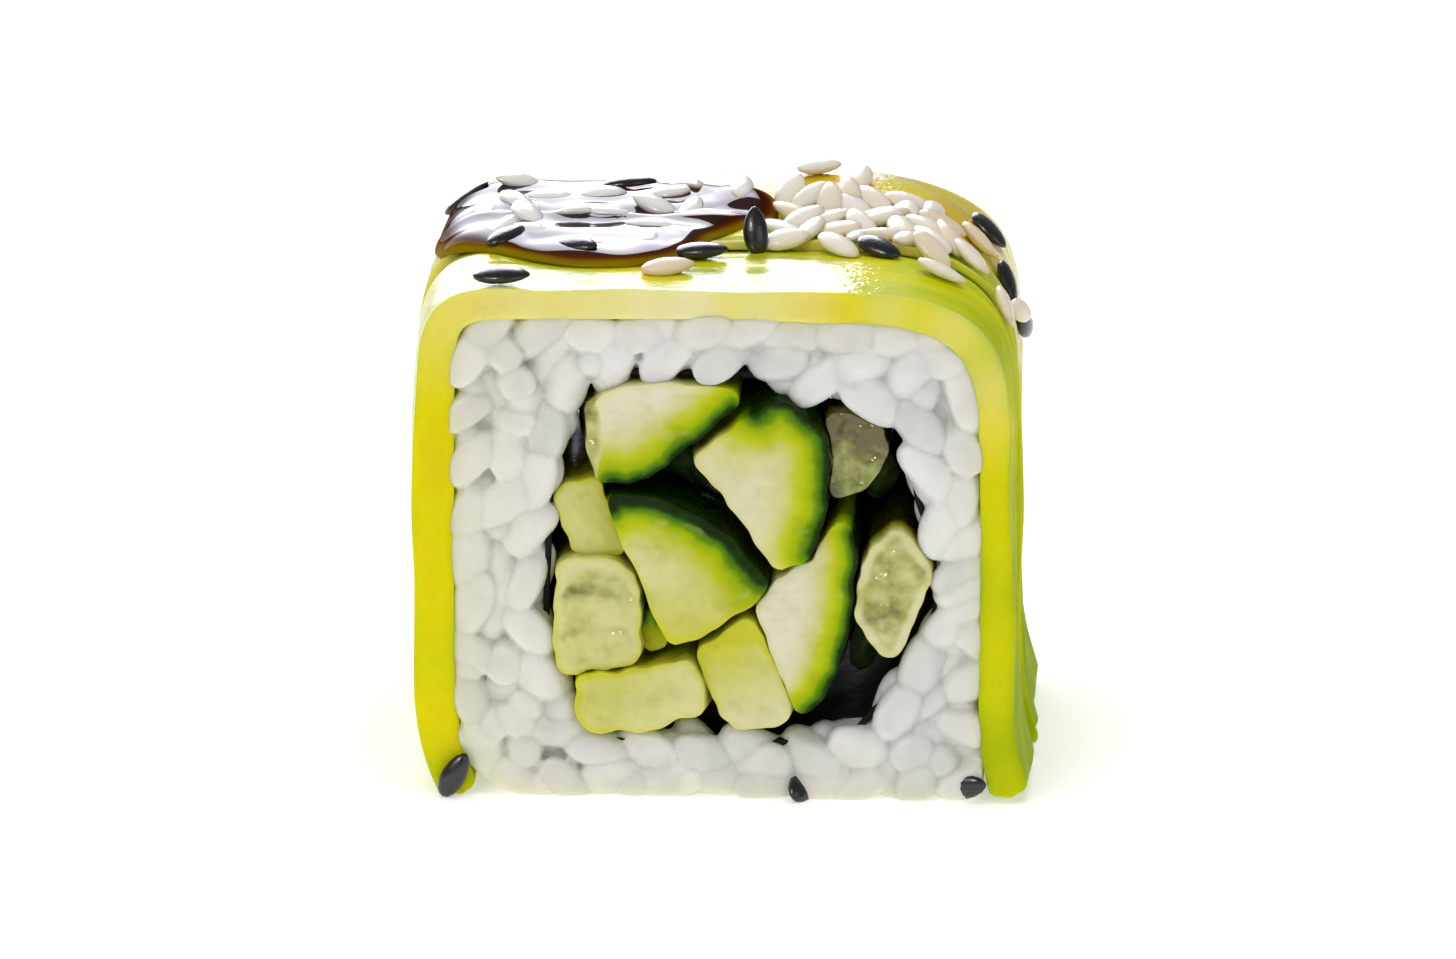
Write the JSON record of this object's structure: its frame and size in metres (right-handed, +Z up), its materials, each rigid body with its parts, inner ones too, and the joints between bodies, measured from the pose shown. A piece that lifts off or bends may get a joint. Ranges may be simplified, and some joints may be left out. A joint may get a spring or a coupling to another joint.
{
  "type": "avocado-topped inside-out sushi roll slice",
  "caption": "Slice of inside-out sushi roll: rice round cucumber sticks in nori, draped with avocado slices and topped with dark sauce.",
  "frame": {"origin": "on the resting plane, under the middle of the slice's bounding box", "axes": "+X across the cut face to the right, +Y along the roll from the front cut face to the back one, +Z up"},
  "size_m": [0.0398, 0.0248, 0.0356],
  "materials": {
    "rice": "moist, slightly translucent",
    "nori": "damp satin",
    "cucumber": "wet, slightly translucent",
    "avocado": "oily smooth",
    "sauce": "thick glossy glaze"
  },
  "bodies": {
    "root": {"rice": "rice", "nori": "nori", "cucumber_top_left": "cucumber", "cucumber_top_middle": "cucumber", "cucumber_centre": "cucumber", "cucumber_right": "cucumber", "cucumber_upper_left": "cucumber", "cucumber_seed_left": "cucumber", "cucumber_sliver": "cucumber", "cucumber_bottom_left": "cucumber", "cucumber_bottom_middle": "cucumber", "cucumber_seed_top": "cucumber", "cucumber_seed_right": "cucumber", "cucumber_deep_middle": "cucumber", "cucumber_deep_upper": "cucumber", "cucumber_deep_lower": "cucumber", "avocado_front": "avocado", "avocado_back": "avocado", "sauce": "sauce"}
  },
  "joints": []
}
